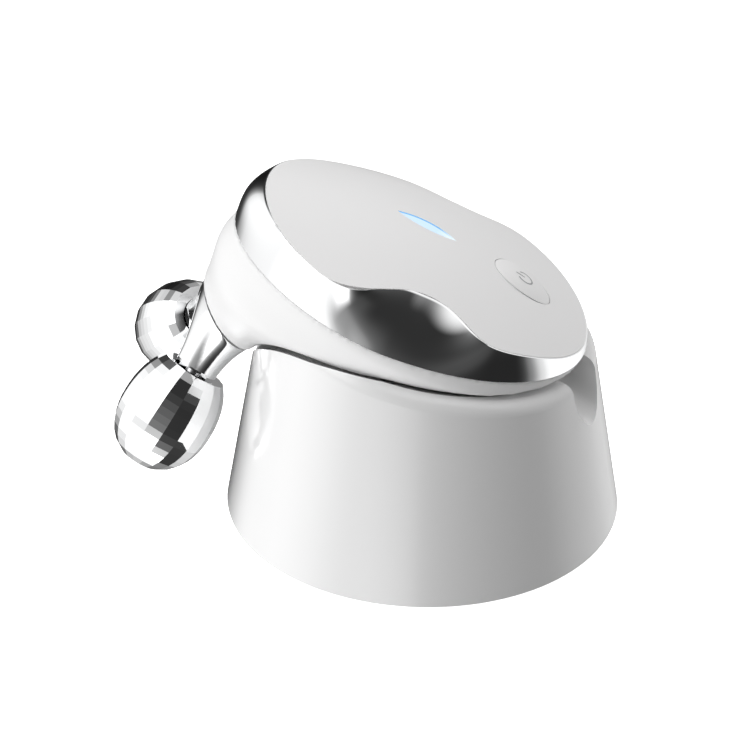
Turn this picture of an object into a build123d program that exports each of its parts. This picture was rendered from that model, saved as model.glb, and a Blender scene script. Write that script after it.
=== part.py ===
from build123d import *
from math import cos, exp, pi, radians, sin, sqrt
import os

# Facial toning hand-set with two faceted rollers, on its tilted charging stand.
# Millimetres.  The origin is the centre of the stand's foot, +Z is up, and +X
# is the direction in which the hand-set points from its roller head to its
# tail.  "Left" is the -Y side, "right" the +Y side.

# ---------------------------------------------------------------- stand
STAND_R = 46.0                # radius of the stand at the table
STAND_TAPER = 0.2029          # radius lost per millimetre of height
STAND_TOP = 62.0              # height of the cone before it is trimmed
STAND_WALL = 2.4
FOOT_GAP = 0.15               # the stand's lower edge above the table
FOOT_ROUND = 0.3
RIM_HEIGHT = 48.2             # rim plane on the stand's axis
RIM_TILT = 12.55              # the rim plane leans down by this angle
RIM_HEADING = -16.0           # ... towards this heading
RIM_ROUND = 3.4
BOWL_CENTRE = (13.8, -3.95, 112.6)
BOWL_R = 74.4                 # the spherical bowl that the hand-set rests in
BOWL_GAP = 0.4
NOTCH_R = 7.0                 # finger notch in the rim
NOTCH_SLOPE = 27.0
NOTCH_AT = (22.0, 45.6)       # a point on the notch's axis: radius, height
PLATE_R = 42.0
PLATE_LOW = 1.0
PLATE_TOP = 3.0
PAD_R = 39.0
PAD_T = 1.6
BALLAST_R = 34.0
BALLAST_HOLE_R = 12.0
BALLAST_TOP = 10.0
BASE_SCREWS = ((-33, -10), (22, -27), (24, 26))
BOSS_R = 3.4
SHANK_R = 1.05
HEAD_R = 2.5
SOCKET_Z = 9.0
SOCKET_W = 8.9
SOCKET_H = 3.2
SOCKET_DEPTH = 8.5
SOCKET_FACE = 43.2            # distance of the socket's mouth from the axis
BOARD_T = 1.2
COIL_SEAT = 11.6              # flat seat of the coil under the rim plane
SEAT_R = 17.0
COIL_R = 15.5
COIL_HOLE_R = 7.0
COIL_T = 1.2
COIL_SHIFT = 4.5              # the coil lies this far towards the tail
FERRITE_T = 1.0

# ---------------------------------------------------------------- hand-set
BODY_TILT = 19.58             # the hand-set's length leans down to the tail
BODY_ORIGIN = (-6.03, 0.0, 69.68)
COVER_T = 2.0                 # thickness of the domed top cover
COVER_GAP = 0.3               # the band's lip stands this far outside the cover
BAND_WALL = 3.0
SHELL_WALL = 2.2
PARTING_HEAD = (-33.1, -14.05)
PARTING_TAIL = (48.7, -11.3)
PARTING_SAG = 1.7
FRAME_TOP = -11.6
FRAME_T = 1.4
CASE_SCREWS = ((-17, -15), (-17, 13), (27, -17), (27, 15))
POST_R = 2.6
SCREW_R = 0.9
BELLY = (4.3, -3.95)          # middle of the spherical underside
RING_STEPS = 14               # points on each half of a closed section

# ---------------------------------------------------------------- light and button
LENS_AT = (6.7, -0.2)
LENS_L = 7.1                  # half length of the light's leaf-shaped window
LENS_W = 1.9
LENS_TURN = -7.0
BUTTON_AT = (30.35, -0.4)
BUTTON_L = 7.1
BUTTON_W = 5.8
BUTTON_RISE = 0.8             # crown of the button over the cover
BUTTON_CROWN_R = 24.0
BUTTON_GAP = 0.15
SWITCH_H = 2.0

# ---------------------------------------------------------------- neck
NECK_AT = (-44.6, 0.0, 43.6)  # centre of the neck ring
NECK_DIP = 30.0               # the neck's axis points down by this angle
NECK_R = 10.2
NECK_GAP = 0.7                # between the neck and the stand's saddle
NECK_S, NECK_H = -27.6, -37.5             # neck ring's centre on the body plane
NECK_OUT_S, NECK_OUT_H = 0.648, 0.761     # the neck's slope on the body plane
# Slanted sections from above the parting line down to the neck's round end:
# (along, height) of the head end, the same of the tail end, where between
# them the section is widest, its half width, and the fullness of both halves.
NECK_RINGS = (
    ((-33.15, -9.0), (46.0, -9.0), 8.0, 35.35, 1.7, 2.25),
    ((-33.3, -14.0), (44.5, -13.0), 8.0, 35.35, 1.7, 2.25),
    ((-34.7, -17.5), (33.0, -17.0), 8.0, 35.15, 1.7, 2.2),
    ((-35.5, -21.0), (14.0, -24.5), -1.0, 31.4, 1.7, 2.1),
    ((-35.3, -24.2), (-4.5, -29.0), -13.5, 24.9, 1.8, 2.1),
    ((-35.3, -26.8), (-12.2, -35.4), -20.0, 17.9, 1.9, 2.0),
    ((-35.35, -28.9), (-16.4, -40.0), -24.4, 13.2, 2.0, 2.0),
)
BUSH_R = 8.0
BUSH_END = 6.0
WASHER_T = 0.5
SPRING_R = 6.6
SPRING_T = 1.75

# ---------------------------------------------------------------- head
SPINDLE_R = 4.0
SPINDLE_L = 10.5
RUNNING_GAP = 0.05
GROOVE_DEPTH = 0.8
FORK_DIP = 51.2               # the fork's middle line, below the horizontal
FORK_REACH = 23.85            # from the neck ring to between the rollers
FORK_HALF_ANGLE = 29.15
FORK_SPREAD = 15.14           # roller centre from the fork's middle line
HEAD_SWIVEL = -17.45          # how far the head is turned where it rests
ARM_R = 5.0
ELBOW_R = 7.6
ARM_ROOT_R = 9.6
ARM_SHIFT = 0.5               # the arms' roots lie this far to either side
ARM_GAP = 0.5                 # between an arm's end and its roller

# ---------------------------------------------------------------- rollers
ROLLER_L = 24.5
ROLLER_R = 11.15
ROLLER_SIDES = 18
ROLLER_BANDS = 14
INNER_REACH = 15.75           # how slowly the barrel narrows to its arm
OUTER_REACH = 13.19           # ... and to its tip
BARREL_POWER = 2.2
AXLE_R = 2.0
AXLE_CORE_R = 1.5             # axle in the clip's groove
ROLLER_BUSH_R = 3.6
ROLLER_BUSH_L = 5.0
PLUG_R = 3.4
CLIP_R = 2.9

BODY = Plane(
    origin=BODY_ORIGIN,
    x_dir=(cos(radians(BODY_TILT)), 0, -sin(radians(BODY_TILT))),
    z_dir=(sin(radians(BODY_TILT)), 0, cos(radians(BODY_TILT))),
)
RIM = Plane(
    origin=(0, 0, RIM_HEIGHT),
    x_dir=(
        cos(radians(RIM_TILT)) * cos(radians(RIM_HEADING)),
        cos(radians(RIM_TILT)) * sin(radians(RIM_HEADING)),
        -sin(radians(RIM_TILT)),
    ),
    z_dir=(
        sin(radians(RIM_TILT)) * cos(radians(RIM_HEADING)),
        sin(radians(RIM_TILT)) * sin(radians(RIM_HEADING)),
        cos(radians(RIM_TILT)),
    ),
)
# The neck's own frame: its Z runs back into the body, its X is across.
NECK = Plane(
    origin=NECK_AT,
    x_dir=(0, 1, 0),
    z_dir=(cos(radians(NECK_DIP)), 0, sin(radians(NECK_DIP))),
)
FRAME_LOW = FRAME_TOP - FRAME_T
BOARD_TOP = FRAME_TOP + BOARD_T
SHELL_BALL_R = BOWL_R - BOWL_GAP


# ================================================================ helpers
def solid(shape):
    """The largest solid of a boolean result."""
    return max(shape.solids(), key=lambda piece: piece.volume)


def closed_spline(points):
    """A face bounded by one smooth closed curve."""
    return Face(Wire([Edge.make_spline([Vector(*p) for p in points], periodic=True)]))


def cylinder(plane, x, y, z0, z1, r):
    """A cylinder standing on a plane between two heights."""
    base = plane.location * Location((x, y, (z0 + z1) / 2))
    return base * Cylinder(r, z1 - z0)


def tube(plane, x, y, z0, z1, r, bore):
    return cylinder(plane, x, y, z0, z1, r) - cylinder(plane, x, y, z0 - 1, z1 + 1, bore)


def block(plane, x0, x1, y0, y1, z0, z1):
    """A box in a plane's own coordinates."""
    middle = ((x0 + x1) / 2, (y0 + y1) / 2, (z0 + z1) / 2)
    return plane.location * Location(middle) * Box(x1 - x0, y1 - y0, z1 - z0)


def ball(centre, r):
    return Location(centre) * Sphere(r)


def joined(pieces):
    """Separate solids as one group."""
    return Compound(children=[piece for shape in pieces for piece in shape.solids()])


def cross_slot(plane, x, y, z0, z1, reach):
    """Cutter for the cross recess of a screw's head."""
    one = block(plane, x - reach, x + reach, y - 0.25, y + 0.25, z0, z1)
    return one + block(plane, x - 0.25, x + 0.25, y - reach, y + reach, z0, z1)


# ================================================================ body forms
def dome(s, v):
    """Height of the cover's surface along and across the body."""
    along = 0.00683 * s * s / 2 + 2.07e-5 * s**3
    across = (0.01037 - 1.086e-4 * s) * v * v / 2
    return -along - across


def below_dome(shift=0.0):
    """Everything under the cover's surface, moved up or down."""
    rows = []
    for i in range(13):
        s = -52 + 9.5 * i
        rows.append([(s, -48 + 8 * j, dome(s, -48 + 8 * j) + shift) for j in range(13)])
    sheet = Face.make_surface_from_array_of_points(rows, tol=0.01)
    return BODY.location * Solid.extrude(sheet, Vector(0, 0, -75))


def cover_outline(turn, inset=0.0):
    """Waisted outline of the cover; turn 0 is the head, pi the tail."""
    a, b = 38.6 - inset, 34.5 - inset
    s = 9.6 - a * cos(turn)
    v = b * (1 - abs(cos(turn)) ** 2.05) ** (1 / 2.05)
    v -= 8.7 * exp(-((abs(s - 11.5) / 11.3) ** 2.8))
    return s, max(v, 0.0)


def parting_outline(turn, inset=0.0):
    """Outline where the band meets the rear shell, narrower at the head."""
    power = 1.7 if cos(turn) > 0 else 2.25
    a = (41.1 if cos(turn) > 0 else 40.7) - inset
    s = 8.0 - a * cos(turn)
    v = (35.4 - inset) * (1 - abs(cos(turn)) ** power) ** (1 / power)
    return s, v


def parting_height(s):
    """Height of the parting line above the body plane."""
    span = PARTING_TAIL[0] - PARTING_HEAD[0]
    part = (s - PARTING_HEAD[0]) / span
    chord = PARTING_HEAD[1] + part * (PARTING_TAIL[1] - PARTING_HEAD[1])
    return chord - 4 * PARTING_SAG * part * (1 - part)


def ring_points(half, height, slope=0.0):
    """Mirrors a half outline into a closed ring on a level or slanted plane."""
    near = [half(pi * i / RING_STEPS) for i in range(RING_STEPS + 1)]
    ring = [(s, -v, height + slope * s) for s, v in near]
    ring += [(s, v, height + slope * s) for s, v in reversed(near[1:-1])]
    return ring


def band_section(height, inset=0.0):
    """Outline of the band's side at a height between cover and parting."""

    def half(turn):
        su, vu = cover_outline(turn, inset)
        sl, vl = parting_outline(turn, inset)
        top, low = dome(su, vu), parting_height(sl)
        part = (top - height) / (top - low)
        bulge = 0.35 + 0.65 * exp(-((turn / 0.9) ** 2))
        if part > 0:
            share = (1 - bulge) * part + bulge * (1 - (1 - part) ** 2)
        else:
            share = (1 + bulge) * part
        share = max(share, -1.2)
        return su + share * (sl - su), vu + share * (vl - vu)

    return ring_points(half, height)


def loft_of(rings):
    return BODY.location * Solid.make_loft([closed_spline(r).outer_wire() for r in rings])


def band_form(inset=0.0):
    heights = (2.0, -1.5, -4.0, -6.5, -9.0, -12.0, -16.0)
    return loft_of([band_section(height, inset) for height in heights])


def shell_form(inset=0.0):
    """Side of the rear shell, rounding in below the parting line."""
    levels = ((-9.0, -0.1), (-14.0, -0.1), (-17.5, 0.0), (-20.5, 1.5), (-23.0, 4.6), (-26.0, 10.5))
    rings = []
    for height, drawn_in in levels:
        rings.append(ring_points(lambda turn: parting_outline(turn, inset + drawn_in), height))
    return loft_of(rings)


def below_parting():
    """Everything under the parting surface, a shallow arc along the body."""
    span = PARTING_TAIL[0] - PARTING_HEAD[0]
    start = PARTING_HEAD[0] - span / 4
    end = PARTING_TAIL[0] + span / 4
    middle = (start + end) / 2
    ends = [Vector(s, 60, parting_height(s)) for s in (start, middle, end)]
    arc = Edge.make_three_point_arc(*ends)
    rest = Wire.make_polygon([arc @ 1, (end, 60, -70), (start, 60, -70), arc @ 0], close=False)
    return BODY.location * Solid.extrude(Face(Wire([arc] + rest.edges())), Vector(0, -120, 0))


def prism(half, z0, z1):
    """A closed outline raised between two heights over the body plane."""
    face = closed_spline(ring_points(half, z0))
    return BODY.location * Solid.extrude(face, Vector(0, 0, z1 - z0))


# ================================================================ neck form
def slanted_ring(ring, extra=0.0):
    """One closed section of the neck funnel, grown outwards by a gap."""
    head, tail, widest, half_width, head_power, tail_power = ring
    slope = (tail[1] - extra - head[1]) / (tail[0] - head[0])
    stretch = extra / sqrt(1 + slope * slope)

    def half(turn):
        at_head = cos(turn) > 0
        power = head_power if at_head else tail_power
        reach = (widest - head[0] if at_head else tail[0] - widest) + stretch
        wide = (1 - abs(cos(turn)) ** power) ** (1 / power)
        return widest - reach * cos(turn), (half_width + extra) * wide

    return ring_points(half, head[1] - slope * head[0], slope)


def neck_form(extra=0.0):
    """The funnel from the parting line to the round neck ring."""
    reach_s, reach_h = NECK_R * NECK_OUT_H, NECK_R * NECK_OUT_S
    head = (NECK_S - reach_s, NECK_H + reach_h)
    tail = (NECK_S + reach_s, NECK_H - reach_h)
    rings = NECK_RINGS + ((head, tail, NECK_S, NECK_R, 2.0, 2.0),)
    return loft_of([slanted_ring(ring, extra) for ring in rings])


def saddle_cutter(extra=0.0):
    """The space that the neck and the head's root need in the stand."""
    r = NECK_R + NECK_GAP + extra
    return neck_form(NECK_GAP + extra) + cylinder(NECK, 0, 0, -14, 1.5, r)


# ================================================================ stand
def stand_cone(inset, z0):
    low = STAND_R - inset - STAND_TAPER * z0
    high = STAND_R - inset - STAND_TAPER * STAND_TOP
    return Location((0, 0, (z0 + STAND_TOP) / 2)) * Cone(low, high, STAND_TOP - z0)


def notch_cutter(extra=0.0):
    """A finger scoop in the rim, open upwards, sloping down outwards."""
    r = NOTCH_R + extra
    heading, slope = radians(RIM_HEADING), radians(NOTCH_SLOPE)
    out = Vector(cos(heading) * cos(slope), sin(heading) * cos(slope), -sin(slope))
    start = Vector(cos(heading) * NOTCH_AT[0], sin(heading) * NOTCH_AT[0], NOTCH_AT[1])
    frame = Plane(origin=start, x_dir=(-sin(heading), cos(heading), 0), z_dir=out)
    return cylinder(frame, 0, 0, -5, 35, r) + block(frame, -r, r, 0, 40, -5, 35)


def above_rim(drop=0.0):
    return block(RIM, -100, 100, -100, 100, -drop, 80)


def stand_outside():
    """The stand's outer form with its bowl, saddle and finger notch."""
    form = solid(stand_cone(0, FOOT_GAP) - above_rim())
    form = form.fillet(RIM_ROUND, form.edges().sort_by(Axis.Z)[-1:])
    form = form.fillet(FOOT_ROUND, form.edges().group_by(Axis.Z)[0])
    return form - ball(BOWL_CENTRE, BOWL_R) - saddle_cutter() - notch_cutter()


def stand_inside():
    """The room inside, a wall away from bowl, saddle, notch and rim."""
    hollow = stand_cone(STAND_WALL, -1.0) & ball(BOWL_CENTRE, 140)
    hollow = solid(hollow - ball(BOWL_CENTRE, BOWL_R + STAND_WALL))
    hollow = solid(hollow - above_rim(STAND_WALL + 2))
    hollow = solid(hollow - saddle_cutter(STAND_WALL))
    hollow = solid(hollow - notch_cutter(STAND_WALL))
    hollow = hollow - cylinder(RIM, COIL_SHIFT, 0, -COIL_SEAT, 0, SEAT_R)
    for x, y in BASE_SCREWS:
        hollow = hollow - cylinder(Plane.XY, x, y, PLATE_TOP + BOARD_T, STAND_TOP, BOSS_R)
    return solid(hollow)


def socket_face(width, height, depth):
    """A slot-shaped block running inwards from the stand's back wall."""
    opening = Plane(origin=(0, STAND_R - 2, SOCKET_Z), x_dir=(1, 0, 0), z_dir=(0, 1, 0))
    return extrude(opening * SlotOverall(width, height), -depth)


def stand_shell():
    shell = stand_outside() - stand_inside()
    shell = shell - cylinder(Plane.XY, 0, 0, -1, PLATE_TOP, PLATE_R + 0.1)
    for x, y in BASE_SCREWS:
        shell = shell - cylinder(Plane.XY, x, y, PLATE_TOP, 12.5, SHANK_R)
    slot = socket_face(SOCKET_W + 0.4, SOCKET_H + 0.4, SOCKET_DEPTH)
    slot = slot + socket_face(SOCKET_W + 0.4, SOCKET_H + 0.4, -SOCKET_DEPTH)
    return solid(shell - slot)


def stand_base_plate():
    plate = cylinder(Plane.XY, 0, 0, PLATE_LOW, PLATE_TOP, PLATE_R)
    plate = plate - cylinder(Plane.XY, 0, 0, 0, PAD_T, PAD_R + 0.1)
    rail_top = SOCKET_Z - SOCKET_H / 2 - BOARD_T
    plate = plate + block(Plane.XY, -9, 9, 22, 37.5, PLATE_TOP, rail_top)
    for x, y in BASE_SCREWS:
        plate = plate - cylinder(Plane.XY, x, y, 0, 4, HEAD_R - 1.0)
        plate = plate - Location((x, y, 2.15)) * Cone(HEAD_R + 0.1, HEAD_R - 1.0, 1.1)
    return solid(plate)


def stand_ballast():
    """A cast ring, open at the back for the charging board."""
    weight = tube(Plane.XY, 0, 0, PLATE_TOP, BALLAST_TOP, BALLAST_R, BALLAST_HOLE_R)
    weight = weight - block(Plane.XY, -12, 12, 0, 40, 2, BALLAST_TOP + 1)
    for x, y in BASE_SCREWS:
        weight = weight - cylinder(Plane.XY, x, y, 2, BALLAST_TOP + 1, BOSS_R + 0.8)
    return solid(weight)


def stand_charging_board():
    low = SOCKET_Z - SOCKET_H / 2 - BOARD_T
    return block(Plane.XY, -9, 9, 15, 39.0, low, low + BOARD_T)


def stand_charging_inlet():
    """A drawn socket shell with its contact tongue."""
    body = socket_face(SOCKET_W, SOCKET_H, SOCKET_DEPTH)
    body = body - socket_face(SOCKET_W - 0.7, SOCKET_H - 0.7, SOCKET_DEPTH - 2)
    body = body & cylinder(Plane.XY, 0, 0, 0, 40, SOCKET_FACE)
    tongue = block(Plane.XY, -3.3, 3.3, 37.5, SOCKET_FACE, SOCKET_Z - 0.35, SOCKET_Z + 0.35)
    return solid(body + tongue)


def stand_base_screws():
    screws = []
    for x, y in BASE_SCREWS:
        head = Location((x, y, 2.2)) * Cone(HEAD_R, HEAD_R - 1.0, 1.0)
        screw = head + cylinder(Plane.XY, x, y, 2.6, 12.0, SHANK_R)
        screws.append(screw - cross_slot(Plane.XY, x, y, 1.6, 2.2, 1.3))
    return joined(screws)


def stand_coil():
    return tube(RIM, COIL_SHIFT, 0, -COIL_SEAT - COIL_T, -COIL_SEAT, COIL_R, COIL_HOLE_R)


def stand_ferrite():
    top = -COIL_SEAT - COIL_T
    return cylinder(RIM, COIL_SHIFT, 0, top - FERRITE_T, top, COIL_R + 1)


# ================================================================ hand-set
def leaf(centre, half_length, half_width, turn):
    """A pointed leaf outline on the body plane, as a face."""
    tips = [(-half_length, 0, 0), (half_length, 0, 0)]
    one = Edge.make_three_point_arc(tips[0], (0, half_width, 0), tips[1])
    two = Edge.make_three_point_arc(tips[1], (0, -half_width, 0), tips[0])
    return Face(Wire([one, two])).moved(Location((*centre, 0), (0, 0, turn)))


def oval(centre, half_length, half_width):
    """An elliptic outline on the body plane, as a face."""
    edge = Edge.make_ellipse(half_length, half_width)
    return Face(Wire([edge])).moved(Location((*centre, 0)))


def raised(face, z0, z1):
    """A face on the body plane raised between two heights."""
    return BODY.location * Solid.extrude(face.moved(Location((0, 0, z0))), Vector(0, 0, z1 - z0))


def between_domes(shape, low, high):
    """The slice of a shape between two copies of the dome."""
    return solid((shape & below_dome(high)) - below_dome(low))


def cover_prism():
    return prism(lambda turn: cover_outline(turn, COVER_GAP), -22, 8)


def top_cover():
    cover = solid((cover_prism() & (below_dome() - below_dome(-COVER_T))) - below_parting())
    cover = cover - raised(leaf(LENS_AT, LENS_L, LENS_W, LENS_TURN), -12, 4)
    hole = oval(BUTTON_AT, BUTTON_L + BUTTON_GAP, BUTTON_W + BUTTON_GAP)
    return solid(cover - raised(hole, -12, 4))


def chrome_band():
    band = solid((band_form() & below_dome()) - below_parting())
    band = band - band_form(BAND_WALL)
    return solid(band - (cover_prism() - below_dome(-COVER_T)))


def shell_room():
    """The room in the rear shell with its screw posts and the neck's bores."""
    room = shell_form(SHELL_WALL) & ball(BOWL_CENTRE, SHELL_BALL_R - SHELL_WALL)
    for s, v in CASE_SCREWS:
        room = room - cylinder(BODY, s, v, -40, FRAME_LOW, POST_R)
        room = room + cylinder(BODY, s, v, FRAME_LOW - 5, -10, SCREW_R)
    room = room + cylinder(NECK, 0, 0, BUSH_END - 1, 26.0, SPRING_R + 0.2)
    return solid(room + cylinder(NECK, 0, 0, -1, BUSH_END + WASHER_T + 0.1, BUSH_R))


def rear_shell():
    """The underside: a spherical belly that flows into the round neck."""
    form = solid(shell_form() & ball(BOWL_CENTRE, SHELL_BALL_R)) + neck_form()
    return solid(solid(form & below_parting()) - shell_room())


def inner_frame():
    face = closed_spline(band_section(FRAME_TOP, BAND_WALL + 0.5))
    plate = BODY.location * Solid.extrude(face, Vector(0, 0, -FRAME_T))
    plate = plate & shell_form(SHELL_WALL + 0.4)
    plate = plate & ball(BOWL_CENTRE, SHELL_BALL_R - SHELL_WALL - 0.3)
    plate = plate - block(BODY, -31, -21, -5, 5, FRAME_LOW - 1, FRAME_TOP + 1)
    for s, v in CASE_SCREWS:
        plate = plate - cylinder(BODY, s, v, FRAME_LOW - 1, FRAME_TOP + 1, 1.2)
    return solid(plate)


def main_board():
    return block(BODY, -12, 37, -12, 12, FRAME_TOP, BOARD_TOP)


def indicator_led():
    s, v = LENS_AT
    return block(BODY, s - 1.75, s + 1.75, v - 0.75, v + 0.75, BOARD_TOP, BOARD_TOP + 1.2)


def indicator_lens():
    """A flush light window, held by a lip under the cover, with a light pipe."""
    window = raised(leaf(LENS_AT, LENS_L, LENS_W, LENS_TURN), -12, 4)
    lip = raised(leaf(LENS_AT, LENS_L + 1.0, LENS_W + 0.9, LENS_TURN), -12, 4)
    lens = between_domes(window, -COVER_T, 0.0) + between_domes(lip, -COVER_T - 0.6, -COVER_T)
    s, v = LENS_AT
    return solid(lens + cylinder(BODY, s, v, BOARD_TOP + 1.4, dome(s, v) - 1.0, 1.1))


def power_switch():
    s, v = BUTTON_AT
    can = block(BODY, s - 2.6, s + 2.6, v - 2.6, v + 2.6, BOARD_TOP, BOARD_TOP + 1.6)
    return solid(can + cylinder(BODY, s, v, BOARD_TOP + 1.5, BOARD_TOP + SWITCH_H, 1.3))


def power_button():
    """A crowned oval key with a lip under the cover and a stem to the switch."""
    s, v = BUTTON_AT
    tilt = (dome(s - 1, v) - dome(s + 1, v)) / 2
    depth = (BUTTON_CROWN_R - BUTTON_RISE) / sqrt(1 + tilt * tilt)
    centre = BODY.location * Location((s - depth * tilt, v, dome(s, v) - depth))
    key = raised(oval(BUTTON_AT, BUTTON_L, BUTTON_W), -12, 4) & (centre * Sphere(BUTTON_CROWN_R))
    key = solid(key - below_dome(-COVER_T - 1.0))
    lip = raised(oval(BUTTON_AT, BUTTON_L + 1.1, BUTTON_W + 1.1), -14, 4)
    lip = between_domes(lip, -COVER_T - 1.0, -COVER_T - 0.05)
    stem = cylinder(BODY, s, v, BOARD_TOP + SWITCH_H + 0.5, dome(s, v) - COVER_T - 0.5, 1.6)
    return solid(key + lip + stem)


CELL = (-12.0, 20.0, -14.0, 9.0)
TRAY_LOW = FRAME_LOW - 7.4


def battery():
    cell = block(BODY, *CELL, TRAY_LOW + 1.2, FRAME_LOW - 0.2)
    corners = [e for e in cell.edges() if abs((e % 0.5).dot(BODY.z_dir)) > 0.99]
    return solid(cell.fillet(1.5, corners))


def battery_tray():
    s0, s1, v0, v1 = CELL
    tray = block(BODY, s0 - 1.5, s1 + 1.5, v0 - 1, v1 + 1, TRAY_LOW, FRAME_LOW)
    tray = tray - block(BODY, s0 - 0.05, s1 + 0.05, v0 - 0.05, v1 + 0.05, TRAY_LOW + 1.2, 0)
    return solid(tray - cylinder(BODY, 4, -2.5, TRAY_LOW - 1, TRAY_LOW + 2, 5))


def handset_ferrite():
    return cylinder(BODY, *BELLY, TRAY_LOW - 0.9, TRAY_LOW, 13.5)


def handset_coil():
    return tube(BODY, *BELLY, TRAY_LOW - 2.0, TRAY_LOW - 0.9, 12.5, 6)


def case_screws():
    screws = []
    for s, v in CASE_SCREWS:
        screw = cylinder(BODY, s, v, FRAME_TOP, FRAME_TOP + 1.2, 1.9)
        screw = screw - cross_slot(BODY, s, v, FRAME_TOP + 0.5, FRAME_TOP + 2, 1.2)
        screws.append(screw + cylinder(BODY, s, v, FRAME_LOW - 4.5, FRAME_TOP + 0.1, SCREW_R))
    return joined(screws)


def neck_bush():
    return tube(NECK, 0, 0, 0.8, BUSH_END, BUSH_R, SPINDLE_R + RUNNING_GAP)


def neck_washer():
    return tube(NECK, 0, 0, BUSH_END, BUSH_END + WASHER_T, BUSH_R - 0.4, SPINDLE_R + 0.2)


def neck_spring():
    low = BUSH_END + WASHER_T
    return tube(NECK, 0, 0, low, low + SPRING_T, SPRING_R, SPINDLE_R + 0.3)


# ================================================================ head
CLIP_LOW = BUSH_END + WASHER_T + SPRING_T


def head_direction(dip):
    """Unit vector pointing down from the horizontal, away from the body."""
    return Vector(-cos(radians(dip)), 0, -sin(radians(dip)))


def swivelled(shape):
    """Turns a centred head part to where it rests."""
    return shape.rotate(Axis(NECK_AT, tuple(head_direction(NECK_DIP))), HEAD_SWIVEL)


def axle_plane(side):
    """A roller's own plane, at its middle, its Z out along the axle."""
    down = head_direction(FORK_DIP)
    across = Vector(0, side, 0)
    centre = Vector(*NECK_AT) + down * FORK_REACH + across * FORK_SPREAD
    half_angle = radians(FORK_HALF_ANGLE)
    out = down * cos(half_angle) + across * sin(half_angle)
    return Plane(origin=centre, x_dir=(0, 1, 0), z_dir=out)


def round_wire(plane, r):
    """A round wire of the same make all along a loft."""
    points = [(r * cos(pi * i / 6), r * sin(pi * i / 6), 0) for i in range(12)]
    edge = Edge.make_spline([Vector(*p) for p in points], periodic=True)
    return plane.location * Wire([edge])


def fork_arm(side):
    """One arm, from the round root at the neck ring to its roller."""
    root_at = (NECK_AT[0], side * ARM_SHIFT, NECK_AT[2])
    root = Plane(origin=root_at, x_dir=(0, 1, 0), z_dir=tuple(head_direction(NECK_DIP))).offset(0.3)
    axle = axle_plane(side)
    end = axle.offset(-ROLLER_L / 2 - ARM_GAP)
    wrist = axle.offset(-ROLLER_L / 2 - 4.5)
    elbow_at = (root.origin + axle.offset(-ROLLER_L / 2 - 7).origin) * 0.5
    elbow = Plane(origin=elbow_at, x_dir=(0, 1, 0), z_dir=(root.z_dir + axle.z_dir) * 0.5)
    sections = (root, ARM_ROOT_R), (elbow, ELBOW_R), (wrist, ARM_R + 0.5), (end, ARM_R)
    return Solid.make_loft([round_wire(plane, r) for plane, r in sections])


def fork():
    form = fork_arm(-1) + fork_arm(1)
    form = form + cylinder(NECK, 0, 0, -3.0, SPINDLE_L, SPINDLE_R)
    groove = (CLIP_LOW - 0.05, CLIP_LOW + 0.95)
    form = form - tube(NECK, 0, 0, *groove, SPINDLE_R + 1, SPINDLE_R - GROOVE_DEPTH)
    for side in (-1, 1):
        form = form - cylinder(axle_plane(side), 0, 0, -ROLLER_L / 2 - 9, -ROLLER_L / 2, AXLE_R)
    return swivelled(solid(form))


def neck_clip():
    clip = tube(NECK, 0, 0, CLIP_LOW, CLIP_LOW + 0.9, 6.0, SPINDLE_R - GROOVE_DEPTH)
    return swivelled(solid(clip - block(NECK, -1.6, 1.6, -8, 0, CLIP_LOW - 1, CLIP_LOW + 2)))


def axle(side):
    half = ROLLER_L / 2
    plane = axle_plane(side)
    pin = cylinder(plane, 0, 0, -half - 8.5, half - 3.0, AXLE_R)
    return swivelled(solid(pin - tube(plane, 0, 0, half - 4.4, half - 3.8, AXLE_R + 1, AXLE_CORE_R)))


def axle_clip(side):
    half = ROLLER_L / 2
    plane = axle_plane(side)
    ring = tube(plane, 0, 0, half - 4.35, half - 3.85, CLIP_R, AXLE_CORE_R)
    return swivelled(solid(ring - block(plane, -0.9, 0.9, -4, 0, half - 5, half - 3)))


def barrel_radius(z):
    """Radius of a roller along its axle, fullest in the middle."""
    reach = INNER_REACH if z < 0 else OUTER_REACH
    return ROLLER_R * (1 - (abs(z) / reach) ** BARREL_POWER) ** (1 / BARREL_POWER)


def faceted_ring(z):
    corners = []
    for k in range(ROLLER_SIDES):
        turn = 2 * pi * (k + 0.5) / ROLLER_SIDES
        corners.append((barrel_radius(z) * cos(turn), barrel_radius(z) * sin(turn), z))
    return Wire.make_polygon(corners, close=True)


def roller(side):
    """A barrel of flat facets, bored for its bushes and its plug."""
    half = ROLLER_L / 2
    plane = axle_plane(side)
    levels = [ROLLER_L * i / ROLLER_BANDS - half for i in range(ROLLER_BANDS + 1)]
    barrel = plane.location * Solid.make_loft([faceted_ring(z) for z in levels], ruled=True)
    barrel = barrel - cylinder(plane, 0, 0, -half + 0.6, half - 4.0, ROLLER_BUSH_R)
    barrel = barrel - cylinder(plane, 0, 0, -half - 1, half, 2.6)
    return swivelled(solid(barrel - cylinder(plane, 0, 0, half - 4.6, half + 1, PLUG_R)))


def roller_bushes(side):
    half = ROLLER_L / 2
    plane = axle_plane(side)
    bushes = []
    for low in (-half + 0.6, half - 4.6 - ROLLER_BUSH_L):
        bush = tube(plane, 0, 0, low, low + ROLLER_BUSH_L, ROLLER_BUSH_R, AXLE_R + RUNNING_GAP)
        bushes.append(swivelled(bush))
    return joined(bushes)


def roller_plug(side):
    half = ROLLER_L / 2
    return swivelled(cylinder(axle_plane(side), 0, 0, half - 1.6, half, PLUG_R))


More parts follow.
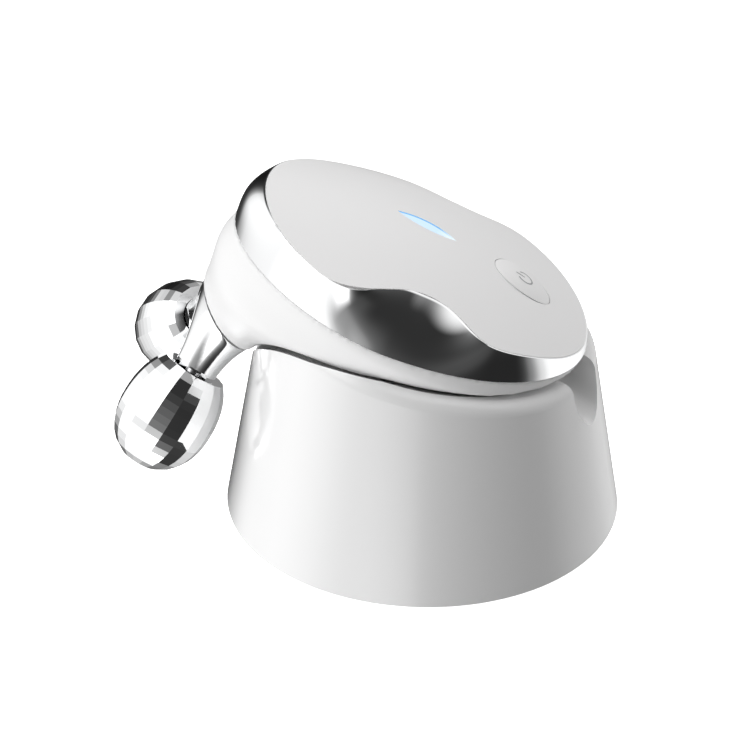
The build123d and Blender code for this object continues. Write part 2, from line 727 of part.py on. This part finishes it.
# ================================================================ all the parts
SINGLE = (
    stand_shell, stand_base_plate, stand_ballast, stand_charging_board, stand_charging_inlet,
    stand_base_screws, stand_coil, stand_ferrite, top_cover, chrome_band, rear_shell, inner_frame,
    main_board, battery, battery_tray, case_screws, handset_coil, handset_ferrite, indicator_led,
    indicator_lens, power_switch, power_button, neck_bush, neck_washer, neck_spring, fork, neck_clip,
)
PAIRED = (axle, axle_clip, roller, roller_bushes, roller_plug)

if __name__ == "__main__":
    os.makedirs("parts", exist_ok=True)
    parts = {make.__name__: make() for make in SINGLE}
    parts["stand_foot_pad"] = cylinder(Plane.XY, 0, 0, 0, PAD_T, PAD_R)
    for make in PAIRED:
        for name, side in (("left", -1), ("right", 1)):
            parts[f"{make.__name__}_{name}"] = make(side)
    for name, shape in parts.items():
        export_step(shape, f"parts/{name}.step")
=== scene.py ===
import math

import bmesh
import bpy
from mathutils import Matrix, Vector


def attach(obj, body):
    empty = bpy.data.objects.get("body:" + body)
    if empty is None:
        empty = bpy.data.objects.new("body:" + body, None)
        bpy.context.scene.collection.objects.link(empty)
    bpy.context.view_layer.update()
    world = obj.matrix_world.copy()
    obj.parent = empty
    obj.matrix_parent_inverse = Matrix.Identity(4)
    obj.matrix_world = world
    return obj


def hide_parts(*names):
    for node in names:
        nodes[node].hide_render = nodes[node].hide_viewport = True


# A facial toning device on its charging stand: materials for the CAD pieces,
# smooth skins for the rear shell and the polished band, the printed power symbol,
# the camera and the studio light.  Lengths are millimetres times MM.

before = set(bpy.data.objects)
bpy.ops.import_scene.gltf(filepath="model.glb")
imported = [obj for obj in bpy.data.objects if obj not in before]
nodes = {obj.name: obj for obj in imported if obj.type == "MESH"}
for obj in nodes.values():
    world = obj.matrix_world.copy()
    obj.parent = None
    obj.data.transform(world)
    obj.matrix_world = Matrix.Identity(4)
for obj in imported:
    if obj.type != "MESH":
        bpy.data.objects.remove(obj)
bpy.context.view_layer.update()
MM = 0.001

# ---------------------------------------------------------------- camera
CAMERA_AT = (37.72, -277.62, 181.23)
CAMERA_AIM = (-10.89, -1.92, 30.62)
LENS = 67.2

camera_data = bpy.data.cameras.new("camera")
camera_data.lens = LENS
camera_data.sensor_width = 36.0
camera_data.clip_start = 0.01
camera = bpy.data.objects.new("camera", camera_data)
bpy.context.scene.collection.objects.link(camera)
camera.location = Vector(CAMERA_AT) * MM
look = (Vector(CAMERA_AIM) - Vector(CAMERA_AT)) * MM
camera.rotation_euler = look.to_track_quat("-Z", "Y").to_euler()
bpy.context.scene.camera = camera


# ---------------------------------------------------------------- node helpers
def fill(node, values):
    """Set a node's inputs from a table of socket names and values."""
    for socket, value in values.items():
        node.inputs[socket].default_value = value


def feed(tree, value, socket):
    """Link another node's output to a socket, or set the socket to a value."""
    if isinstance(value, bpy.types.NodeSocket):
        tree.links.new(value, socket)
    else:
        socket.default_value = value


def noise(tree, scale, detail):
    coord = tree.nodes.new("ShaderNodeTexCoord")
    texture = tree.nodes.new("ShaderNodeTexNoise")
    fill(texture, {"Scale": scale, "Detail": detail})
    feed(tree, coord.outputs["Object"], texture.inputs["Vector"])
    return texture.outputs["Fac"]


def ramp(tree, value, low, high, to_low=0.0, to_high=1.0, smooth=False):
    node = tree.nodes.new("ShaderNodeMapRange")
    if smooth:
        node.interpolation_type = "SMOOTHSTEP"
    fill(node, {"From Min": low, "From Max": high, "To Min": to_low, "To Max": to_high})
    feed(tree, value, node.inputs["Value"])
    return node.outputs["Result"]


def mix(tree, kind, factor, low, high):
    """Blend two colours, kind RGBA, or two numbers, kind FLOAT."""
    node = tree.nodes.new("ShaderNodeMix")
    node.data_type = kind
    feed(tree, factor, node.inputs["Factor"])
    feed(tree, low, node.inputs["A"])
    feed(tree, high, node.inputs["B"])
    return node.outputs["Result"]


def measure(tree, operation, vector):
    """The surface point's DISTANCE from a point, or its DOT_PRODUCT with an axis."""
    coord = tree.nodes.new("ShaderNodeTexCoord")
    node = tree.nodes.new("ShaderNodeVectorMath")
    node.operation = operation
    feed(tree, coord.outputs["Object"], node.inputs[0])
    node.inputs[1].default_value = vector
    return node.outputs["Value"]


# ---------------------------------------------------------------- materials
TONE_SCALE, TONE_DETAIL, TONE_DROP = 35.0, 2.0, 0.975
PLASTIC_GRAIN, PLASTIC_GRAIN_DEPTH = 2600.0, 0.000002
PLASTIC_BUMP, METAL_BUMP = 0.25, 0.1
COAT_ROUGHNESS = 0.04
METAL_TONE_SCALE, METAL_GRAIN, METAL_GRAIN_DEPTH = 60.0, 900.0, 0.000004


def new_material(name):
    mat = bpy.data.materials.new(name)
    mat.use_nodes = True
    tree = mat.node_tree
    return mat, tree, tree.nodes["Principled BSDF"]


def tint(tree, shader, value, dark, light):
    colour = mix(tree, "RGBA", value, (*dark, 1), (*light, 1))
    feed(tree, colour, shader.inputs["Base Color"])


def bump(tree, shader, height, strength, distance):
    node = tree.nodes.new("ShaderNodeBump")
    fill(node, {"Strength": strength, "Distance": distance})
    feed(tree, height, node.inputs["Height"])
    feed(tree, node.outputs["Normal"], shader.inputs["Normal"])


def plastic(name, colour, rough, coat=0.0, grain=PLASTIC_GRAIN, depth=PLASTIC_GRAIN_DEPTH):
    """Moulded plastic: a faint drift of tone, a fine moulding grain and uneven gloss."""
    mat, tree, shader = new_material(name)
    drift = noise(tree, TONE_SCALE, TONE_DETAIL)
    tint(tree, shader, drift, tuple(c * TONE_DROP for c in colour), colour)
    fine = noise(tree, grain, TONE_DETAIL)
    gloss = ramp(tree, fine, 0.3, 0.7, rough * 0.96, rough * 1.04)
    feed(tree, gloss, shader.inputs["Roughness"])
    bump(tree, shader, fine, PLASTIC_BUMP, depth)
    fill(shader, {"Coat Weight": coat, "Coat Roughness": COAT_ROUGHNESS})
    return mat


def metal(name, colour, rough, depth=METAL_GRAIN_DEPTH, wear=0.15):
    """Plated or ground metal with uneven polish."""
    mat, tree, shader = new_material(name)
    shader.inputs["Metallic"].default_value = 1.0
    drift = noise(tree, METAL_TONE_SCALE, 4.0)
    tint(tree, shader, drift, tuple(c * (1 - wear * 0.3) for c in colour), colour)
    fine = noise(tree, METAL_GRAIN, 3.0)
    gloss = ramp(tree, fine, 0.25, 0.75, rough * 0.7, rough * 1.3)
    feed(tree, gloss, shader.inputs["Roughness"])
    bump(tree, shader, fine, METAL_BUMP, depth)
    return mat


def dress(node, mat):
    data = nodes[node].data
    data.materials.clear()
    data.materials.append(mat)
    for poly in data.polygons:
        poly.material_index = 0


# ---------------------------------------------------------------- the hand-set's own frame
BODY_TILT = math.radians(19.58)
BODY_AT = Vector((-6.03, 0.0, 69.68)) * MM
ALONG = Vector((math.cos(BODY_TILT), 0, -math.sin(BODY_TILT)))
ACROSS = Vector((0, 1, 0))
UP = Vector((math.sin(BODY_TILT), 0, math.cos(BODY_TILT)))

# the cover's curvature along and across at the middle, and its change towards the tail
CURVE_ALONG, CURVE_ALONG_GROWTH = 0.00683, 2.07e-5
CURVE_ACROSS, CURVE_ACROSS_LOSS = 0.01037, 1.086e-4


def dome(s, v):
    """Height of the cover's surface over the body plane."""
    along = CURVE_ALONG * s * s / 2 + CURVE_ALONG_GROWTH * s**3
    return -along - (CURVE_ACROSS - CURVE_ACROSS_LOSS * s) * v * v / 2


def body_point(s, v, h):
    """A point by its length, width and height in the hand-set's frame."""
    return BODY_AT + (ALONG * s + ACROSS * v + UP * h) * MM


# ---------------------------------------------------------------- light window
LEAF_AT = (6.7, -0.2)
LEAF_TURN = math.radians(-7.0)
LEAF_HALF_LENGTH, LEAF_HALF_WIDTH = 7.1, 1.9
LEAF_EDGE = 1.1
# from the leaf's middle towards the tail, where the blue starts to pale and has paled
LEAF_FADE = (2.5, 6.6)
PALE_BLUE, DEEP_BLUE = (0.56, 0.76, 0.97, 1), (0.03, 0.36, 0.80, 1)
NEARLY_WHITE = (0.80, 0.92, 1.0, 1)


def light_window():
    """A lit leaf: deep blue along its far edge, pale blue to white towards the tail."""
    mat, tree, shader = new_material("blue_light")
    centre = body_point(*LEAF_AT, dome(*LEAF_AT))
    lengthwise = ALONG * math.cos(LEAF_TURN) + ACROSS * math.sin(LEAF_TURN)
    sideways = ACROSS * math.cos(LEAF_TURN) - ALONG * math.sin(LEAF_TURN)
    arc = (LEAF_HALF_LENGTH**2 + LEAF_HALF_WIDTH**2) / (2 * LEAF_HALF_WIDTH)

    arc_centre = centre - sideways * (arc - LEAF_HALF_WIDTH) * MM
    distance = measure(tree, "DISTANCE", arc_centre)
    blue = tree.nodes.new("ShaderNodeValToRGB")
    inner, outer = blue.color_ramp.elements
    inner.position, inner.color = 0.2, PALE_BLUE
    outer.position, outer.color = 0.72, DEEP_BLUE
    side = ramp(tree, distance, (arc - LEAF_EDGE) * MM, arc * MM)
    feed(tree, side, blue.inputs["Fac"])

    middle = centre.dot(lengthwise)
    low, high = (middle + reach * MM for reach in LEAF_FADE)
    tip = ramp(tree, measure(tree, "DOT_PRODUCT", lengthwise), low, high)
    glow = mix(tree, "RGBA", tip, blue.outputs["Color"], NEARLY_WHITE)
    feed(tree, glow, shader.inputs["Emission Color"])
    fill(shader, {
        "Emission Strength": 1.0,
        "Base Color": (0.02, 0.03, 0.05, 1),
        "Roughness": 0.15,
    })
    mat.cycles.emission_sampling = "NONE"
    return mat


WHITE = plastic("white_gloss", (0.90, 0.90, 0.90), 0.16, coat=0.6)
SATIN = plastic("white_satin", (0.90, 0.90, 0.90), 0.38)
COVER = plastic("cover_gloss", (0.95, 0.945, 0.945), 0.3)
CHROME = metal("mirror_chrome", (0.95, 0.955, 0.96), 0.035, depth=0.000001, wear=0.02)
STEEL = metal("ground_steel", (0.62, 0.62, 0.63), 0.28)
RUBBER = plastic("foot_silicone", (0.05, 0.05, 0.055), 0.6, grain=900.0, depth=0.00004)
GREY = plastic("grey_plastic", (0.42, 0.43, 0.45), 0.45)
BOARD = plastic("solder_mask", (0.02, 0.18, 0.07), 0.3)
COPPER = metal("copper_winding", (0.85, 0.42, 0.22), 0.3)
BLACK = plastic("black_plastic", (0.03, 0.03, 0.032), 0.45)
INK = plastic("grey_print", (0.36, 0.36, 0.37), 0.35)
LIGHT = light_window()

# the first row with a word that is in the piece's name; any other piece is GREY
MATERIAL_WORDS = (
    (WHITE, ("stand_shell", "stand_base_plate")),
    (SATIN, ("rear_shell",)),
    (COVER, ("top_cover", "power_button")),
    (CHROME, ("chrome_band", "fork", "roller_left", "roller_right", "roller_plug")),
    (STEEL, ("screw", "axle", "clip", "washer", "spring")),
    (RUBBER, ("foot_pad",)),
    (BOARD, ("board",)),
    (COPPER, ("coil",)),
    (BLACK, ("ferrite", "switch")),
    (LIGHT, ("indicator_lens",)),
)

for name in nodes:
    fitting = (mat for mat, words in MATERIAL_WORDS if any(word in name for word in words))
    dress(name, next(fitting, GREY))


# ---------------------------------------------------------------- smooth skins
NECK_AT = Vector((-44.6, 0.0, 43.6)) * MM
NECK_TILT = math.radians(30)
NECK_IN = Vector((math.cos(NECK_TILT), 0, math.sin(NECK_TILT)))
SKIN_VOXEL = 0.0006
SKIN_ROUNDS = 120
PARTING_DEPTHS = (16.5, 19.0)
NECK_DEPTHS = (0.8, 3.0)


def new_object(name, mesh, mat):
    obj = bpy.data.objects.new(name, mesh)
    bpy.context.scene.collection.objects.link(obj)
    mesh.materials.clear()
    mesh.materials.append(mat)
    return obj


def apply_modifiers(obj):
    graph = bpy.context.evaluated_depsgraph_get()
    mesh = bpy.data.meshes.new_from_object(obj.evaluated_get(graph))
    obj.modifiers.clear()
    obj.data = mesh
    return mesh


def flowing_skin(name, node, body, mat, freedom):
    """A node's form with its creases flowing into each other.

    freedom(point) gives how free a point is, from 0, kept, to 1, smoothed."""
    obj = new_object(name, nodes[node].data.copy(), mat)
    remesh = obj.modifiers.new("remesh", "REMESH")
    remesh.mode = "VOXEL"
    remesh.voxel_size = SKIN_VOXEL
    remesh.use_smooth_shade = True
    mesh = apply_modifiers(obj)
    group = obj.vertex_groups.new(name="free")
    for vertex in mesh.vertices:
        group.add([vertex.index], freedom(vertex.co), "REPLACE")
    smooth = obj.modifiers.new("smooth", "SMOOTH")
    smooth.factor = 0.5
    smooth.iterations = SKIN_ROUNDS
    smooth.vertex_group = "free"
    mesh = apply_modifiers(obj)
    mesh.materials.clear()
    mesh.materials.append(mat)
    for polygon in mesh.polygons:
        polygon.material_index = 0
        polygon.use_smooth = True
    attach(obj, body)
    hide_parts(node)


def between(value, low, high):
    part = min(max((value - low) / (high - low), 0.0), 1.0)
    return part * part * (3 - 2 * part)


def shell_freedom(point):
    """Free below the parting line and away from the neck's end."""
    depth = -((point - BODY_AT).dot(UP) / MM)
    from_ring = (point - NECK_AT).dot(NECK_IN) / MM
    return between(depth, *PARTING_DEPTHS) * between(from_ring, *NECK_DEPTHS)


flowing_skin("rear_shell_skin", "rear_shell", "handset", SATIN, shell_freedom)

# ---------------------------------------------------------------- the polished band
COVER_MIDDLE, COVER_HALF_LENGTH, COVER_HALF_WIDTH, COVER_POWER = 9.6, 38.6, 34.5, 2.05
WAIST_AT, WAIST_DEPTH, WAIST_REACH, WAIST_POWER = 11.5, 8.7, 11.3, 2.8
PARTING_MIDDLE, PARTING_HALF_WIDTH = 8.0, 35.4
PARTING_HEAD = (41.1, 1.7)
PARTING_TAIL = (40.7, 2.25)
PARTING_LEVEL, PARTING_RISE, PARTING_SAG = -14.05, 2.75, 6.8
PARTING_START = PARTING_MIDDLE - PARTING_HEAD[0]
PARTING_LENGTH = PARTING_HEAD[0] + PARTING_TAIL[0]
SIDE_BULGE = 0.35
HEAD_SWELL, HEAD_SPREAD = 1.3, 0.9
BAND_HALF_STEPS, BAND_ROWS = 150, 26
# the side starts this share of the way down, and its rows lie closer at the top
BAND_START, BAND_CROWDING = 0.012, 1.25
BAND_WALL = 2.6
# (inset from the cover's edge, depth under its surface), from the inner wall up
BAND_LIP = ((BAND_WALL, 2.2), (0.3, 2.1), (0.3, 0.12), (0.16, 0.02))
WELD = 1e-6
SHARP = math.radians(38)


def oval(c, half_width, power):
    """Half the width of an oval at the share c of its half length."""
    return half_width * max(1 - abs(c) ** power, 0.0) ** (1 / power)


def cover_edge(turn, inset=0.0):
    """The cover's waisted outline; turn 0 is the head, pi the tail."""
    c = math.cos(turn)
    s = COVER_MIDDLE - (COVER_HALF_LENGTH - inset) * c
    v = oval(c, COVER_HALF_WIDTH - inset, COVER_POWER)
    waist = math.exp(-((abs(s - WAIST_AT) / WAIST_REACH) ** WAIST_POWER))
    return s, max(v - WAIST_DEPTH * waist, 0.0)


def parting_edge(turn, inset=0.0):
    """The outline where the band meets the rear shell, with its height."""
    c = math.cos(turn)
    half_length, power = PARTING_HEAD if c > 0 else PARTING_TAIL
    s = PARTING_MIDDLE - (half_length - inset) * c
    part = (s - PARTING_START) / PARTING_LENGTH
    height = PARTING_LEVEL + PARTING_RISE * part - PARTING_SAG * part * (1 - part)
    return s, oval(c, PARTING_HALF_WIDTH - inset, power), height


def band_point(turn, part):
    """A point of the band's side, part of the way down from cover to parting."""
    su, vu = cover_edge(turn)
    sl, vl, low = parting_edge(turn)
    top = dome(su, vu)
    head = math.exp(-((turn / HEAD_SPREAD) ** 2))
    bulge = SIDE_BULGE + (1 - SIDE_BULGE) * head
    share = (1 - bulge) * part + bulge * (1 - (1 - part) ** (2 + HEAD_SWELL * head))
    return su + share * (sl - su), vu + share * (vl - vu), top + part * (low - top)


def band_section(turn):
    """The band's section at one turn, from under the cover's edge round to its lip."""
    section = []
    for k in range(BAND_ROWS + 1):
        part = (k / BAND_ROWS) ** BAND_CROWDING
        section.append(band_point(turn, BAND_START + part * (1 - BAND_START)))
    section.append(parting_edge(turn, BAND_WALL))
    for inset, depth in BAND_LIP:
        s, v = cover_edge(turn, inset)
        section.append((s, v, dome(s, v) - depth))
    return section


def polished_band():
    """The band as one closed ring: its side, a rolled top edge, and its inner wall."""
    sections = []
    for i in range(2 * BAND_HALF_STEPS):
        turn, side = math.pi * i / BAND_HALF_STEPS, 1
        if turn > math.pi:
            turn, side = 2 * math.pi - turn, -1
        sections.append([body_point(s, side * v, h) for s, v, h in band_section(turn)])
    count = len(sections[0])
    faces = []
    for i in range(len(sections)):
        j = (i + 1) % len(sections)
        for k in range(count):
            m = (k + 1) % count
            faces.append((i * count + k, i * count + m, j * count + m, j * count + k))
    mesh = bpy.data.meshes.new("polished_band")
    mesh.from_pydata([point for section in sections for point in section], [], faces)
    obj = new_object("polished_band", mesh, CHROME)
    work = bmesh.new()
    work.from_mesh(mesh)
    bmesh.ops.remove_doubles(work, verts=work.verts, dist=WELD)
    bmesh.ops.recalc_face_normals(work, faces=work.faces)
    for edge in work.edges:
        edge.smooth = len(edge.link_faces) == 2 and edge.calc_face_angle(0) < SHARP
    for face in work.faces:
        face.smooth = True
    work.to_mesh(mesh)
    work.free()
    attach(obj, "handset")
    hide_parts("chrome_band")


polished_band()

# ---------------------------------------------------------------- power symbol
BUTTON_AT = (30.35, -0.4)
BUTTON_RISE, BUTTON_CROWN = 0.8, 24.0
PRINT_LIFT = 0.015
RING_RADIUS, RING_STEPS, RING_GAP = 1.85, 56, math.radians(38)
BAR_FROM, BAR_LENGTH, BAR_STEPS = -2.35, 2.15, 6
STROKE = 0.4


def power_symbol():
    """An open ring and a bar, printed on the button's crown."""
    s, v = BUTTON_AT
    tilt = (dome(s - 1, v) - dome(s + 1, v)) / 2
    normal = (UP + ALONG * tilt).normalized()
    forward = (ALONG - UP * tilt).normalized()
    centre = body_point(s, v, dome(s, v)) - normal * (BUTTON_CROWN - BUTTON_RISE) * MM

    def on_crown(a, b):
        lift = math.sqrt((BUTTON_CROWN + PRINT_LIFT) ** 2 - a * a - b * b)
        return centre + (forward * a + ACROSS * b + normal * lift) * MM

    def strip(first, steps):
        return [(k, k + 1, k + 3, k + 2) for k in range(first, first + 2 * steps, 2)]

    verts = []
    for i in range(RING_STEPS + 1):
        angle = math.pi + RING_GAP + (2 * math.pi - 2 * RING_GAP) * i / RING_STEPS
        for r in (RING_RADIUS - STROKE / 2, RING_RADIUS + STROKE / 2):
            verts.append(on_crown(r * math.cos(angle), r * math.sin(angle)))
    bar_first = len(verts)
    for i in range(BAR_STEPS + 1):
        a = BAR_FROM + BAR_LENGTH * i / BAR_STEPS
        verts += [on_crown(a, -STROKE / 2), on_crown(a, STROKE / 2)]
    mesh = bpy.data.meshes.new("power_symbol")
    mesh.from_pydata(verts, [], strip(0, RING_STEPS) + strip(bar_first, BAR_STEPS))
    obj = new_object("power_symbol", mesh, INK)
    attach(obj, "button")


power_symbol()

# ---------------------------------------------------------------- stage and light
FLOOR_HALF = 6.0

floor_mat, _, floor_shader = new_material("floor_white")
fill(floor_shader, {
    "Base Color": (0.9, 0.9, 0.9, 1),
    "Roughness": 0.9,
    "Emission Color": (1, 1, 1, 1),
    "Emission Strength": 0.9,
})
floor_mesh = bpy.data.meshes.new("floor")
floor_mesh.from_pydata(
    [(x * FLOOR_HALF, y * FLOOR_HALF, 0) for x, y in ((-1, -1), (1, -1), (1, 1), (-1, 1))],
    [],
    [(0, 1, 2, 3)],
)
floor = new_object("floor", floor_mesh, floor_mat)
floor.visible_diffuse = False
floor.visible_glossy = False
floor.visible_transmission = False

# The studio: a large soft light on the left, a weaker one on the right, and dark
# cloth in front and behind.  Each row gives the brightness all the way round at
# one height, as (azimuth in degrees, brightness).
UNDER = (
    (-180, 0.9), (-150, 1.2), (-125, 2.7), (-104, 2.9), (-86, 1.1), (-64, 0.06),
    (-36, 0.04), (-8, 0.3), (40, 0.7), (90, 0.6), (120, 0.2), (145, 0.5), (180, 0.9),
)
FLOOR_ROW = (
    (-180, 0.9), (-150, 1.4), (-130, 1.1), (-116, 1.5), (-101, 1.9), (-83, 0.6),
    (-64, 0.05), (-44, 0.02), (-24, 0.02), (-10, 0.2), (4, 0.8), (30, 1.2), (58, 1.0),
    (82, 0.4), (106, 0.04), (135, 0.05), (152, 0.5), (166, 0.8), (180, 0.9),
)
HORIZON = (
    (-180, 1.1), (-156, 1.3), (-142, 1.2), (-128, 0.65), (-116, 0.35), (-101, 0.28),
    (-80, 0.1), (-60, 0.06), (-45, 0.03), (-34, 0.06), (-16, 0.25), (10, 0.8),
    (50, 0.9), (75, 0.7), (95, 0.6), (106, 0.2), (114, 0.01), (127, 0.03),
    (140, 0.85), (156, 1.1), (180, 1.1),
)
HIGH = (
    (-180, 1.6), (-166, 2.7), (-150, 3.3), (-138, 3.1), (-125, 2.0), (-111, 0.7),
    (-98, 0.28), (-86, 0.1), (-60, 0.03), (-40, 0.04), (-25, 0.12), (-12, 0.4),
    (4, 0.8), (20, 0.9), (50, 0.8), (80, 1.2), (100, 0.8), (118, 0.05), (138, 0.05),
    (152, 0.6), (166, 1.1), (180, 1.6),
)
# each row with the heights, -1 straight down to 1 straight up, between which it
# takes over from the row under it
LAYERS = ((FLOOR_ROW, -0.8, -0.42), (HORIZON, -0.3, 0.05), (HIGH, 0.2, 0.6))
ZENITH, ZENITH_HEIGHTS = 1.15, (0.82, 0.98)


def math_node(tree, operation, *values):
    node = tree.nodes.new("ShaderNodeMath")
    node.operation = operation
    for socket, value in zip(node.inputs, values):
        feed(tree, value, socket)
    return node.outputs["Value"]


def brightness_row(tree, turn, row):
    """Brightness all the way round, as a curve over the azimuth."""
    node = tree.nodes.new("ShaderNodeFloatCurve")
    node.mapping.use_clip = False
    curve = node.mapping.curves[0]
    while len(curve.points) < len(row):
        curve.points.new(0.5, 0.5)
    for point, (azimuth, brightness) in zip(curve.points, row):
        point.location = ((azimuth + 180) / 360, brightness)
        point.handle_type = "AUTO_CLAMPED"
    node.mapping.update()
    feed(tree, turn, node.inputs["Value"])
    return node.outputs["Value"]


def studio_light(tree):
    """The strength of the world's light by direction; the camera itself sees white."""
    coord = tree.nodes.new("ShaderNodeTexCoord")
    split = tree.nodes.new("ShaderNodeSeparateXYZ")
    feed(tree, coord.outputs["Generated"], split.inputs["Vector"])
    angle = math_node(tree, "ARCTAN2", split.outputs["Y"], split.outputs["X"])
    turn = math_node(tree, "ADD", math_node(tree, "DIVIDE", angle, 2 * math.pi), 0.5)
    height = split.outputs["Z"]
    light = brightness_row(tree, turn, UNDER)
    for row, low, high in LAYERS:
        step = ramp(tree, height, low, high, smooth=True)
        light = mix(tree, "FLOAT", step, light, brightness_row(tree, turn, row))
    light = mix(tree, "FLOAT", ramp(tree, height, *ZENITH_HEIGHTS, smooth=True), light, ZENITH)
    path = tree.nodes.new("ShaderNodeLightPath")
    return mix(tree, "FLOAT", path.outputs["Is Camera Ray"], light, 1.0)


world = bpy.data.worlds.new("studio")
bpy.context.scene.world = world
world.use_nodes = True
background = world.node_tree.nodes["Background"]
feed(world.node_tree, studio_light(world.node_tree), background.inputs["Strength"])
background.inputs["Color"].default_value = (1, 1, 1, 1)

bpy.context.scene.view_settings.view_transform = "Standard"
bpy.context.scene.view_settings.look = "None"
